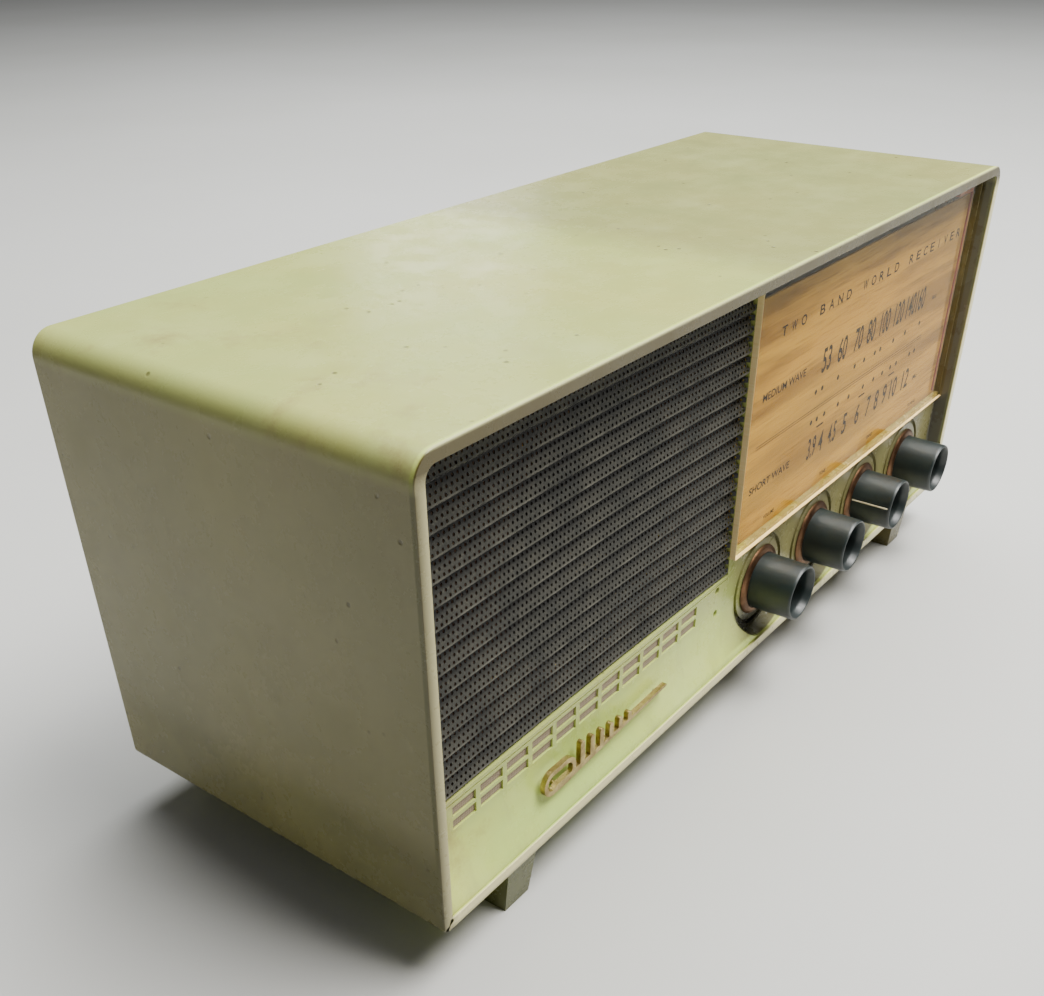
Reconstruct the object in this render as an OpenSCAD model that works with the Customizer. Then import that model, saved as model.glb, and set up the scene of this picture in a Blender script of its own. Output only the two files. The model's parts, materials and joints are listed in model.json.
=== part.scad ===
// Valve table radio: moulded cabinet, fascia, dial, four knobs, and the works inside.
// Millimetres. +Z is up, the front faces -Y. The origin is on the floor, below the middle of the
// whole radio. Inside cab(), x runs from the left side, y from the front rim back, and z from the
// underside of the cabinet up.

/* [Cabinet] */
// Width of the cabinet
body_w = 450; // [446:1:460]
// Height of the cabinet, without its feet
body_h = 175.5; // [173:0.5:182]
// Depth of the cabinet
body_d = 169; // [166:1:190]
// Thickness of the cabinet walls
wall = 4.5; // [4:0.1:4.8]
// Radius of the long upper edges
top_r = 9; // [6:0.5:12]
// Radius of the lower edges
low_r = 2.5; // [1:0.5:3.5]
// Height of the feet
foot_h = 22; // [14:1:28]

/* [Front] */
// Depth of the fascia face behind the front rim
fascia_y = 8; // [7.5:0.1:8.5]
// Thickness of the fascia
fascia_t = 2.5; // [2:0.1:2.5]
// Radius of the ramp below the fascia
ramp_r = 50; // [46:1:56]
// Thickness of the dial lens
lens_t = 3; // [2:0.5:3.5]
// Number of vent slots in a row
slot_count = 11; // [6:1:11]
// Distance from one vent slot to the next
slot_pitch = 14.9; // [14:0.1:15]
// Number of folds in the speaker grille
fold_count = 15; // [10:1:18]

/* [Knobs] */
// Place of the first knob from the left side
knob_x = 234.6; // [234:0.2:236]
// Distance from one knob to the next
knob_pitch = 55.7; // [55:0.1:56]
// Height of the knob shafts above the underside
knob_z = 30.1; // [29.5:0.1:31]
// Radius of a knob at its foot
knob_r = 13.3; // [12:0.1:14]
// Radius of a knob at its open end
knob_end_r = 12.9; // [11.5:0.1:13.5]
// How far a knob stands out of the front rim
knob_out = 15; // [12:0.5:20]

/* [Hidden] */
$fn = 96;

// Overall frame
front_y = -(body_d - knob_out) / 2;
gap = 0.2;               // seam between moulded pieces
turn_gap = 0.05;         // running clearance of a shaft, on the radius
press_gap = 0.02;        // clearance of pieces that are fixed to each other
past = 1;                // how far a cutter runs past a face

// Colours
sage = "#bcbf96";
sage_dark = "#a8a983";
gold = "#b98a45";
brass = "#b5814c";
near_black = "#2b2d28";
steel = "#9a9c9a";
tin = "#b9bab6";
card = "#7b5b3c";
copper = "#9c5a2e";
cream = "#e3dcc4";

// Inner opening of the cabinet
in_x0 = wall;
in_x1 = body_w - wall;
in_z0 = wall;
in_z1 = body_h - wall;
fascia_back = fascia_y + fascia_t;

// Ramp: an arc that leaves the fascia upright and comes forward to the lip
ramp_top = 32;
ramp_y = fascia_y - ramp_r;
lip_y = 1;

// Grille window and folds
grille_x0 = 7;
grille_x1 = 203.6;
grille_z0 = 46;
grille_z1 = in_z1 - 4;
grille_front = 9.4;
fold_depth = 2.4;
sheet_t = 0.8;
fold_h = (grille_z1 - grille_z0 + 2) / fold_count;

// Dial window, plate and lens
dial_x0 = 205.5;
dial_x1 = body_w - 5.5;
dial_z0 = 56;
dial_z1 = in_z1 - 2.5;
lens_x0 = 203.2;
lens_x1 = in_x1 - gap - 0.1;
lens_z0 = 54;
lens_z1 = in_z1 - gap;
plate_y = fascia_back + 0.7;
plate_t = 1.2;

// Vent slots
slot_x0 = 16;
slot_w = 12.5;
slot_h = 4.3;
slot_rows = [32.4, 38.2];
slot_end = slot_x0 + (slot_count - 1) * slot_pitch + slot_w;
cloth_y = fascia_y + 0.9;
line_z = 43.9;           // fine groove between the slots and the grille
peg_x = 195;
peg_rows = [30.5, 42];

// Ornament: an oval, then bars that die away along a tapering spear
ornament_x = 61;
ornament_z = 14.6;
ornament_y = 2.6;
ornament_t = 2.2;
ornament_pins = [ornament_x + 9, ornament_x + 54];
ornament_pin_z = ornament_z + 4.1;
bar_count = 6;
bar_pitch = 6.6;
bar_r = 1.4;

// Knob pockets, collars and rings
pocket_r = 24.6;
pocket_front_r = 26;
pocket_wall = 1.8;
collar_r = 20;
groove_r = 22.4;
groove_depth = 1.6;
ring_r = 16.8;
knob_foot_y = fascia_y - 0.4;
shaft_r = 3;
shaft_front = -6;
shaft_hole_r = 5;

// Chassis
ch_x0 = 208;
ch_x1 = body_w - 8;
ch_y0 = 30;
ch_y1 = 140;
ch_z0 = in_z0 + 0.1;
ch_top = 50;
ch_t = 1.2;
flange = 14;
ch_screw_x = [ch_x0 + 20, ch_x1 - 20];
ch_screw_y = [ch_y0 + 8, ch_y1 - 8];

// Controls behind the front of the chassis
bush_r = 4.7;
bush_front = 22;
control_r = 12.5;
control_d = 12;
nut_r = 7.5;
nut_t = 2.6;

// Drive
cord_y = 22;
cord_r = 0.35;
drum_x = 330;
drum_z = 90;
drum_r = 49.3;           // to the middle of the cord, as all radii of the drive
pulley_r = 5;
spindle_cord_r = 3.45;
pulley_z = 158;
pulley_l_x = 222;
pulley_r_x = 434;
cord_top = pulley_z + pulley_r;
groove_gap = 0.12;
bracket_y = ch_y0 - 1.3;
bracket_t = 1.2;
rail_y = 19;
rail_z = 168;
rail_r = 1;
carriage_x = 421.5;
carriage_w = 9;
needle_x = 436;

// Tuning capacitor, round its shaft
cap_shaft_r = 3.2;
cap_y0 = 45;
cap_y1 = 95;
vane_r = 20;
vane_t = 0.8;
vane_count = 8;
vane_pitch = 4;

// Loudspeaker
spk_x = 104;
spk_z = 107;
baffle_y = 13.2;
baffle_t = 6;
spk_y = baffle_y + baffle_t + 0.1;
spk_hole_r = 52;
spk_r = 61;
cone_r = 44;
magnet_r = 25;
magnet_y = spk_y + 34;
coil_r = 12.5;

// Valves: x, y, radius, height of the glass
valve_list = [[232, 54, 9.5, 46], [272, 54, 9.5, 46], [232, 118, 9.5, 46], [276, 120, 11, 56],
    [404, 52, 11, 58]];
can_list = [[232, 84], [272, 88]];
can_w = 20;
can_h = 48;

// Back
back_y = body_d - 5.3;
back_t = 3;
boss_w = 14;
boss_x = [in_x0 + boss_w / 2, in_x1 - boss_w / 2];
boss_z = [in_z0 + boss_w / 2, in_z1 - boss_w / 2];
boss_y0 = 148;
vent_x = [46, 252];
vent_count = 13;
vent_pitch = 12;
vent_w = 4;
vent_h = 62;
socket_x = [330, 349];
socket_z = 26;
socket_bore_r = 2.05;
socket_len = 14;
grommet_x = 410;
grommet_z = 26;
grommet_bore_r = 3.6;

// Feet: x of the outer side, y of the front
foot_x = [37.5, body_w - 37.5];
foot_y = [1.6, body_d - 32];
foot_top_w = 17.5;
foot_low_w = 14.4;
foot_d = 30;
foot_set = 2.1;          // how far the underside is drawn in at the front and back

// ---- helpers ----

module cab() {
    translate([-body_w / 2, front_y, foot_h]) children();
}

// a flat outline in x and z, made thick from y0 to y1
module along_y(y0, y1) {
    translate([0, y1, 0]) rotate([90, 0, 0]) linear_extrude(y1 - y0) children();
}

// a flat outline in y and z, made thick from x0 to x1
module along_x(x0, x1) {
    translate([x0, 0, 0]) rotate([90, 0, 90]) linear_extrude(x1 - x0) children();
}

module block(x0, x1, y0, y1, z0, z1) {
    translate([x0, y0, z0]) cube([x1 - x0, y1 - y0, z1 - z0]);
}

module rod_x(y, z, r, x0, x1) {
    translate([x0, y, z]) rotate([0, 90, 0]) cylinder(r = r, h = x1 - x0);
}

module rod_y(x, z, r, y0, y1) {
    translate([x, y0, z]) rotate([-90, 0, 0]) cylinder(r = r, h = y1 - y0);
}

module rod_z(x, y, r, z0, z1) {
    translate([x, y, z0]) cylinder(r = r, h = z1 - z0);
}

module tube_y(x, z, r, bore, y0, y1) {
    difference() {
        rod_y(x, z, r, y0, y1);
        rod_y(x, z, bore, y0 - past, y1 + past);
    }
}

// a shape turned about an axis along y; the outline has the radius first and y second
module turned(x, z) {
    translate([x, 0, z]) rotate([-90, 0, 0]) rotate_extrude() children();
}

// rectangle with round corners of different radius above and below
module shell_outline(w, h, top, low) {
    translate([0, low]) square([w, h - low - top]);
    translate([low, 0]) square([w - 2 * low, low + past]);
    translate([top, h - top - past]) square([w - 2 * top, top + past]);
    for (x = [low, w - low]) translate([x, low]) circle(low);
    for (x = [top, w - top]) translate([x, h - top]) circle(top);
}

function knob_at(i) = knob_x + i * knob_pitch;

// ---- cabinet, fascia and front pieces ----

module cabinet() {
    color(sage) cab() difference() {
        union() {
            difference() {
                along_y(0, body_d) shell_outline(body_w, body_h, top_r, low_r);
                along_y(-past, body_d + past) translate([wall, wall])
                    shell_outline(body_w - 2 * wall, body_h - 2 * wall, top_r - wall, 0.4);
            }
            for (x = [in_x0 - past, in_x1 - boss_w + past])
                for (z = [in_z0 - past, in_z1 - boss_w + past])
                    block(x, x + boss_w, boss_y0, back_y - 0.1, z, z + boss_w);
        }
        for (x = boss_x, z = boss_z) rod_y(x, z, 1.4, back_y - 14, body_d);
        for (x = ch_screw_x, y = ch_screw_y) rod_z(x, y, 2.2, -past, wall + past);
        for (p = foot_screw_places()) rod_z(p[0], p[1], 2.2, -past, wall + past);
    }
}

module ramp_face() {
    difference() {
        translate([lip_y, in_z0 + gap]) square([fascia_back - lip_y, ramp_top - in_z0 - gap]);
        translate([ramp_y, ramp_top]) circle(ramp_r, $fn = 360);
    }
}

module ramp_section() {
    intersection() {
        ramp_face();
        union() {
            translate([ramp_y, ramp_top]) circle(ramp_r + fascia_t, $fn = 360);
            translate([lip_y, in_z0 + gap]) square([fascia_back - lip_y, 2.2]);
        }
    }
}

module fascia() {
    color(sage) cab() difference() {
        union() {
            along_y(fascia_y, fascia_back) translate([in_x0 + gap, in_z0 + gap])
                shell_outline(in_x1 - in_x0 - 2 * gap, in_z1 - in_z0 - 2 * gap, top_r - wall, 0.8);
            along_x(in_x0 + gap, in_x1 - gap) ramp_section();
            for (i = [0:3]) intersection() {
                rod_y(knob_at(i), knob_z, pocket_front_r + pocket_wall, lip_y, fascia_back);
                along_x(in_x0 + gap, in_x1 - gap) ramp_face();
            }
            for (x = [12, 190]) rod_y(x, 25, 4, fascia_back - past, baffle_y - 0.1);
        }
        block(grille_x0, grille_x1, 0, baffle_y, grille_z0, grille_z1);
        block(dial_x0, dial_x1, 0, baffle_y, dial_z0, dial_z1);
        for (i = [0:slot_count - 1], z = slot_rows)
            block(slot_x0 + i * slot_pitch, slot_x0 + i * slot_pitch + slot_w, 0, baffle_y, z, z + slot_h);
        for (z = peg_rows) rod_y(peg_x, z, 1.7, 0, baffle_y);
        block(grille_x0, grille_x1, 0, fascia_y + 0.5, line_z, line_z + 0.6);
        for (x = ornament_pins) rod_y(x, ornament_pin_z, 1.1, 0, baffle_y);
        block(slot_x0 - 4, slot_end + 4, cloth_y, baffle_y, slot_rows[0] - 3.4, slot_rows[1] + slot_h + 2.6);
        for (i = [0:3]) {
            translate([knob_at(i), fascia_y, knob_z]) rotate([90, 0, 0])
                cylinder(r1 = pocket_r, r2 = pocket_front_r, h = fascia_y);
            tube_y(knob_at(i), knob_z, groove_r, collar_r, fascia_y - past, fascia_y + groove_depth);
            rod_y(knob_at(i), knob_z, shaft_hole_r, 0, baffle_y);
        }
        for (x = [12, 190]) rod_y(x, 25, 1.4, fascia_back - 1, baffle_y);
    }
}

module vent_cloth() {
    color("#8d7560") cab()
        block(slot_x0 - 3, slot_end + 3, cloth_y + 0.05, cloth_y + 0.7, slot_rows[0] - 2.4,
            slot_rows[1] + slot_h + 2);
}

// One fold: the face leans out as it goes down, and a short return goes back in
function fold_points(back) = [
    for (i = [0:fold_count - 1]) each [
        [grille_front + fold_depth + back, grille_z1 + 1 - i * fold_h],
        [grille_front + back, grille_z1 + 1 - (i + 0.78) * fold_h]
    ],
    [grille_front + fold_depth + back, grille_z1 + 1 - fold_count * fold_h]
];

function reversed(list) = [for (i = [len(list) - 1:-1:0]) list[i]];

module speaker_grille() {
    color("#4b4b45") cab() intersection() {
        along_x(in_x0 + 1, dial_x0 - 2)
            polygon(concat(fold_points(0), reversed(fold_points(sheet_t))));
        union() {
            block(in_x0, dial_x0, fascia_back + 0.1, baffle_y - 0.1, 0, body_h);
            block(grille_x0 + gap, grille_x1 - gap, 0, baffle_y - 0.1, grille_z0 + gap, grille_z1 - gap);
        }
    }
}

module dial_plate() {
    color("#c9a56b") cab()
        block(dial_x0 - 1, dial_x1 + 0.4, plate_y, plate_y + plate_t, dial_z0 - 3, 162);
}

module dial_lens() {
    color([0.9, 0.8, 0.6, 0.4]) cab() along_y(fascia_y - lens_t, fascia_y - 0.02) intersection() {
        translate([lens_x0, lens_z0]) square([lens_x1 - lens_x0, lens_z1 - lens_z0]);
        translate([in_x0 + gap, in_z0 + gap])
            shell_outline(in_x1 - in_x0 - 2 * gap, in_z1 - in_z0 - 2 * gap, top_r - wall, 0.8);
    }
}

// Oval of round bar, seen from the front
module oval(r, reach) {
    for (x = [0, reach]) translate([x, 0]) circle(r);
    translate([0, -r]) square([reach, 2 * r]);
}

// Bars of falling height on a long tapering spear, with an oval before them, pinned to the ramp
module ornament() {
    color(gold) cab() {
        translate([ornament_x, 0, ornament_z]) along_y(ornament_y, ornament_y + ornament_t) {
            polygon([[4, 2.6], [8, 1.8], [85, 6.6], [86, 7.2], [84.5, 7.8], [30, 5.6], [8, 5]]);
            translate([5.6, 7.4]) difference() {
                oval(5.6, 9);
                oval(3.4, 9);
            }
            for (i = [0:bar_count - 1]) translate([24.5 + i * bar_pitch, 3.4 + i * 0.4]) {
                tall = 10.6 - i * 1.5;
                translate([-bar_r, 0]) square([2 * bar_r, tall]);
                translate([0, tall]) circle(bar_r);
            }
        }
        for (x = ornament_pins) rod_y(x, ornament_pin_z, 1, ornament_y + 1, fascia_back + 1.6);
    }
}

// ---- knobs ----

module knob(i) {
    color(near_black) cab() difference() {
        translate([knob_at(i), knob_foot_y, knob_z]) rotate([90, 0, 0])
            cylinder(r1 = knob_r, r2 = knob_end_r, h = knob_foot_y + knob_out);
        translate([knob_at(i), -2, knob_z]) rotate([90, 0, 0])
            cylinder(r1 = knob_end_r - 2.4, r2 = knob_end_r - 1.5, h = knob_out);
        rod_y(knob_at(i), knob_z, knob_r - 2.2, 3, knob_foot_y + past);
        rod_y(knob_at(i), knob_z, shaft_r + press_gap, shaft_front - past, knob_foot_y);
    }
    color(near_black) cab() difference() {
        rod_y(knob_at(i), knob_z, 6, -1, knob_foot_y - 0.5);
        rod_y(knob_at(i), knob_z, shaft_r + press_gap, -2, knob_foot_y);
    }
}

module ring(i) {
    color(brass) cab() turned(knob_at(i), knob_z) polygon([
        [knob_r + press_gap, 6.2], [knob_r + 0.8, 5.7], [ring_r - 0.3, 6.9], [ring_r, 7.6],
        [knob_r - 1, 7.85], [knob_r - 1, 7.62], [knob_r + press_gap, 7.62]
    ]);
}

module knob_volume() { knob(0); }
module knob_tone() { knob(1); }
module knob_band() { knob(2); }
module knob_tuning() { knob(3); }
module ring_volume() { ring(0); }
module ring_tone() { ring(1); }
module ring_band() { ring(2); }
module ring_tuning() { ring(3); }

// ---- feet ----

function foot_screw_places() = [
    for (x = [foot_x[0] + foot_top_w / 2, foot_x[1] - foot_top_w / 2], y = foot_y) [x, y + foot_d / 2]
];

// the outer side is upright, the inner side and both ends are drawn in
module foot(inward) {
    hull() {
        translate([inward > 0 ? 0 : -foot_top_w, 0, -0.12]) cube([foot_top_w, foot_d, 0.1]);
        translate([inward > 0 ? 0 : -foot_low_w, foot_set, -foot_h])
            cube([foot_low_w, foot_d - 2 * foot_set, 0.1]);
    }
}

module feet() {
    color(sage_dark) cab() difference() {
        for (y = foot_y) {
            translate([foot_x[0], y, 0]) foot(1);
            translate([foot_x[1], y, 0]) foot(-1);
        }
        for (p = foot_screw_places()) rod_z(p[0], p[1], 1.6, -12, past);
    }
}

module screw_down(x, y, z, r, head_r, length) {
    rod_z(x, y, r, z - length, z + 0.5);
    rod_z(x, y, head_r, z, z + 1.8);
}

module foot_screws() {
    color(steel) cab()
        for (p = foot_screw_places()) screw_down(p[0], p[1], wall + 0.02, 1.5, 3.4, 14);
}

// ---- chassis and its controls ----

module chassis() {
    color(tin) cab() difference() {
        union() {
            block(ch_x0, ch_x1, ch_y0, ch_y1, ch_top - ch_t, ch_top);
            for (y = [ch_y0, ch_y1 - ch_t]) block(ch_x0, ch_x1, y, y + ch_t, ch_z0, ch_top);
            block(ch_x0, ch_x1, ch_y0, ch_y0 + flange, ch_z0, ch_z0 + ch_t);
            block(ch_x0, ch_x1, ch_y1 - flange, ch_y1, ch_z0, ch_z0 + ch_t);
        }
        for (i = [0:3]) rod_y(knob_at(i), knob_z, bush_r + 0.1, ch_y0 - past, ch_y0 + ch_t + past);
        for (x = ch_screw_x, y = ch_screw_y) rod_z(x, y, 1.7, 0, ch_z0 + 2);
        for (v = valve_list) rod_z(v[0], v[1], v[2] - 1, ch_top - 2, ch_top + 2);
        for (x = socket_x) rod_y(x, socket_z, 6, ch_y1 - 3, ch_y1 + 2);
    }
}

module chassis_screws() {
    color(steel) cab() for (x = ch_screw_x, y = ch_screw_y) {
        rod_z(x, y, 1.66, -0.5, ch_z0 + 3);
        rod_z(x, y, 4, -2, -0.02);
    }
}

module control(i, deep) {
    cab() difference() {
        union() {
            rod_y(knob_at(i), knob_z, bush_r, bush_front, ch_y0 + ch_t + 1);
            rod_y(knob_at(i), knob_z, control_r, ch_y0 + ch_t + 0.1, ch_y0 + ch_t + deep);
            block(knob_at(i) - 8, knob_at(i) + 8, ch_y0 + ch_t + 3, ch_y0 + ch_t + 5,
                knob_z - control_r - 5, knob_z - control_r + 3);
        }
        rod_y(knob_at(i), knob_z, shaft_r + turn_gap, bush_front - past, ch_y0 + ch_t + deep - 1.5);
    }
}

module shaft(i, back) {
    color(brass) cab() rod_y(knob_at(i), knob_z, shaft_r, shaft_front, back);
}

module volume_control() { color(tin) control(0, control_d + 6); }
module tone_control() { color(tin) control(1, control_d); }
module volume_shaft() { shaft(0, ch_y0 + control_d + 4); }
module tone_shaft() { shaft(1, ch_y0 + control_d - 2); }

module band_switch() {
    color("#8a6a3f") control(2, 5);
    color("#8a6a3f") cab() {
        for (y = [42, 56]) tube_y(knob_at(2), knob_z, 17, shaft_r + turn_gap, y, y + 1.6);
        for (x = [-14, 14]) difference() {
            rod_y(knob_at(2) + x, knob_z, 1.6, ch_y0 + ch_t + 2, 60);
            rod_y(knob_at(2), knob_z, control_r - 0.3, ch_y0, 61);
        }
    }
}

module band_shaft() { shaft(2, ch_y0 + 4.4 - 0.5); }

module tuning_bush() {
    color(brass) cab() tube_y(knob_at(3), knob_z, bush_r, shaft_r + turn_gap, ch_y0 - 4.5, ch_y0 + 7);
}

module tuning_spindle() {
    color(steel) cab() rod_y(knob_at(3), knob_z, shaft_r, shaft_front, ch_y0 + 10);
}

module shaft_nuts() {
    color(brass) cab() for (i = [0:3]) difference() {
        translate([knob_at(i), i < 3 ? ch_y0 - nut_t - 0.1 : ch_y0 + ch_t + 0.1, knob_z])
            rotate([-90, 30, 0]) cylinder(r = nut_r, h = nut_t, $fn = 6);
        rod_y(knob_at(i), knob_z, bush_r + press_gap, 0, ch_y0 + 10);
    }
}

// ---- tuning drive ----

module capacitor_frame() {
    color(tin) cab() difference() {
        union() {
            for (y = [cap_y0, cap_y1 - 1.5])
                block(drum_x - 25, drum_x + 25, y, y + 1.5, ch_top + 0.1, drum_z + 26);
            block(drum_x - 25, drum_x + 25, cap_y0, cap_y1, ch_top + 8, ch_top + 9.5);
        }
        rod_y(drum_x, drum_z, cap_shaft_r + turn_gap, 0, body_d);
    }
}

function vane_y(i) = cap_y0 + 7 + i * vane_pitch;

module capacitor_stator() {
    color(cream) cab() {
        for (i = [0:vane_count - 1]) difference() {
            block(drum_x - 22, drum_x + 22, vane_y(i) + vane_pitch / 2, vane_y(i) + vane_pitch / 2 + vane_t,
                drum_z - 25, drum_z - 1);
            rod_y(drum_x, drum_z, 6, 0, body_d);
        }
        for (x = [-19, 19]) rod_y(drum_x + x, drum_z - 22, 1.6, cap_y0 + 1.6, cap_y1 - 1.6);
    }
}

module capacitor_rotor() {
    color(steel) cab() {
        rod_y(drum_x, drum_z, cap_shaft_r, cord_y - 5, cap_y1 + 3);
        for (i = [0:vane_count - 1]) difference() {
            rod_y(drum_x, drum_z, vane_r, vane_y(i), vane_y(i) + vane_t);
            block(drum_x - 30, drum_x + 30, 0, body_d, drum_z - 30, drum_z);
        }
    }
}

// a grooved wheel: floor is the radius of the groove's floor, y is the middle of the groove
module wheel(x, z, floor, rim, bore, width) {
    cab() difference() {
        rod_y(x, z, rim, cord_y - width / 2, cord_y + width / 2);
        tube_y(x, z, rim + past, floor, cord_y - 0.8, cord_y + 0.8);
        rod_y(x, z, bore, cord_y - width, cord_y + width);
    }
}

module drive_drum() {
    color(cream) difference() {
        wheel(drum_x, drum_z, drum_r - cord_r - groove_gap, drum_r + 1.2, cap_shaft_r + press_gap, 5);
        for (a = [45:90:315]) cab() rod_y(drum_x + 27 * cos(a), drum_z + 27 * sin(a), 12, 0, 40);
    }
}

module pulley(x) {
    color(cream) wheel(x, pulley_z, pulley_r - cord_r - groove_gap, pulley_r + 1.1, 1.5 + turn_gap, 4);
}
module pulley_left() { pulley(pulley_l_x); }
module pulley_right() { pulley(pulley_r_x); }

// The cord is one loop round four wheels, taken anticlockwise as seen from the front
loop = [
    [pulley_l_x, pulley_z, pulley_r], [drum_x, drum_z, drum_r],
    [knob_at(3), knob_z, spindle_cord_r], [pulley_r_x, pulley_z, pulley_r]
];
function next(i) = (i + 1) % len(loop);
// direction in which the cord leaves wheel a for wheel b, in degrees
function run_angle(a, b) =
    let (dx = b[0] - a[0], dz = b[1] - a[1], far = sqrt(dx * dx + dz * dz))
    atan2(dz, dx) + asin((a[2] - b[2]) / far);
// the cord touches a wheel a quarter turn to the right of its own direction
function touch(w, angle, extra) = [
    w[0] + (w[2] + extra) * sin(angle), w[1] - (w[2] + extra) * cos(angle)
];

module loop_outline(extra) {
    polygon([for (i = [0:len(loop) - 1]) let (a = loop[i], b = loop[next(i)], run = run_angle(a, b))
        each [touch(a, run, extra), touch(b, run, extra)]]);
    for (w = loop) translate([w[0], w[1]]) circle(w[2] + extra);
}

module drive_cord() {
    color(cream) cab() along_y(cord_y - cord_r, cord_y + cord_r) difference() {
        loop_outline(cord_r);
        loop_outline(-cord_r);
    }
}

module dial_bracket() {
    color(tin) cab() difference() {
        union() {
            block(ch_x0, ch_x1, bracket_y, bracket_y + bracket_t, 130, 170);
            for (x = [ch_x0, ch_x1 - 6]) block(x, x + 6, bracket_y, bracket_y + bracket_t, 38, 132);
            for (x = [ch_x0, ch_x1 - bracket_t])
                block(x, x + bracket_t, rail_y - 2.5, bracket_y + past, rail_z - 3, rail_z + 2.4);
            for (x = [pulley_l_x, pulley_r_x]) rod_y(x, pulley_z, 1.5, cord_y - 2.8, bracket_y + past);
        }
        rod_x(rail_y, rail_z, rail_r + press_gap, ch_x0 - 1, ch_x1 + 1);
    }
}

module pointer_rail() {
    color(steel) cab() rod_x(rail_y, rail_z, rail_r, ch_x0 - 0.5, ch_x1 + 0.5);
}

module dial_pointer() {
    color("#8c3b2a") cab() {
        difference() {
            block(carriage_x - carriage_w / 2, carriage_x + carriage_w / 2, 16.8, 24, cord_top - 1.5, 170);
            rod_x(rail_y, rail_z, rail_r + turn_gap, carriage_x - 10, carriage_x + 10);
            rod_x(cord_y, cord_top, 0.6, carriage_x - 10, carriage_x + 10);
        }
        block(carriage_x - 4, carriage_x, 9.2, 17, 164, 166);
        block(carriage_x - 4, needle_x + 0.4, 9.2, 10, 164, 166);
        block(needle_x - 0.4, needle_x + 0.4, 9.2, 10, 59, 166);
    }
}

lamp_x = [246, 404];
lamp_z = 141;
module dial_lamps() {
    color([1, 0.95, 0.8, 0.6]) cab() for (x = lamp_x) {
        translate([x, 18.6, lamp_z]) sphere(r = 4.4);
        rod_y(x, lamp_z, 3.6, 19, 27);
    }
}

module lamp_holders() {
    color(brass) cab() for (x = lamp_x)
        tube_y(x, lamp_z, 5.4, 3.6 + press_gap, 23, bracket_y - 0.1);
}

// ---- loudspeaker ----

module speaker_baffle() {
    color(card) cab() difference() {
        block(in_x0 + 2, dial_x0 - 2.5, baffle_y, baffle_y + baffle_t, 19, in_z1 - 3);
        rod_y(spk_x, spk_z, spk_hole_r, 0, 40);
        for (x = [12, 190]) rod_y(x, 25, 1.7, 0, 40);
        for (a = [45:90:315])
            rod_y(spk_x + 56.5 * cos(a), spk_z + 56.5 * sin(a), 1.4, 0, 40);
    }
}

module speaker_basket() {
    color(steel) cab() difference() {
        turned(spk_x, spk_z) polygon([
            [49, spk_y], [spk_r, spk_y], [spk_r, spk_y + 1.2], [50.4, spk_y + 1.2],
            [27, magnet_y], [14.5, magnet_y], [14.5, magnet_y - 1.2], [26.4, magnet_y - 1.2],
            [49, spk_y + 3]
        ]);
        for (a = [0:60:300]) translate([spk_x, spk_y + 20, spk_z]) rotate([0, a, 0])
            translate([38, 0, 0]) cube([24, 14, 20], center = true);
        for (a = [45:90:315])
            rod_y(spk_x + 56.5 * cos(a), spk_z + 56.5 * sin(a), 1.8, 0, 60);
    }
}

module speaker_magnet() {
    color("#55585a") cab() difference() {
        turned(spk_x, spk_z) polygon([
            [0, magnet_y + 0.1], [magnet_r, magnet_y + 0.1], [magnet_r, magnet_y + 18],
            [magnet_r + 2, magnet_y + 18], [magnet_r + 2, magnet_y + 22], [0, magnet_y + 22]
        ]);
        tube_y(spk_x, spk_z, coil_r + 1.6, coil_r - 1.4, magnet_y - 1, magnet_y + 14);
    }
}

module speaker_cone() {
    color("#3a3631") cab() turned(spk_x, spk_z) polygon([
        [cone_r, spk_y + 3], [cone_r, spk_y + 3.8], [coil_r, magnet_y - 5], [0, magnet_y - 7],
        [0, magnet_y - 7.8], [coil_r, magnet_y - 6]
    ]);
}

module speaker_surround() {
    color("#2c2a27") cab() turned(spk_x, spk_z) polygon([
        [cone_r + 0.4, spk_y + 3.2], [cone_r + 2.2, spk_y + 1.8], [48.7, spk_y + 0.3],
        [48.7, spk_y + 1.1], [cone_r + 2.4, spk_y + 2.8], [cone_r + 0.4, spk_y + 4]
    ]);
}

module voice_coil() {
    color(copper) cab() tube_y(spk_x, spk_z, coil_r, coil_r - 0.5, magnet_y - 4.8, magnet_y + 8);
}

module screw_front(x, z, y, r, head_r, length) {
    rod_y(x, z, r, y - length, y + 0.5);
    rod_y(x, z, head_r, y, y + 1.8);
}

module speaker_screws() {
    color(steel) cab() {
        for (a = [45:90:315])
            screw_front(spk_x + 56.5 * cos(a), spk_z + 56.5 * sin(a), spk_y + 1.22, 1.36, 3, 6);
        for (x = [12, 190]) screw_front(x, 25, baffle_y + baffle_t + 0.02, 1.36, 3.2, 8);
    }
}

// ---- parts on the chassis ----

module transformer(x, y, w, d, h) {
    block(x - w / 2, x + w / 2, y - d / 4, y + d / 4, ch_top + 0.1, ch_top + h);
    block(x - w / 4, x + w / 4, y - d / 2, y + d / 2, ch_top + h * 0.18, ch_top + h * 0.82);
}

module output_transformer() { color("#6d4a30") cab() transformer(316, 118, 36, 34, 32); }
module mains_transformer() { color("#54504a") cab() transformer(404, 100, 56, 54, 50); }

module valves() {
    color([0.85, 0.88, 0.85, 0.5]) cab() for (v = valve_list) {
        rod_z(v[0], v[1], v[2], ch_top + 5.1, ch_top + v[3] - v[2]);
        translate([v[0], v[1], ch_top + v[3] - v[2]]) sphere(r = v[2]);
    }
}

module valve_sockets() {
    color(card) cab() for (v = valve_list) {
        rod_z(v[0], v[1], v[2] + 2, ch_top + 0.1, ch_top + 5);
        rod_z(v[0], v[1], v[2] - 1.2, ch_top - 6, ch_top + 1);
    }
}

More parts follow.
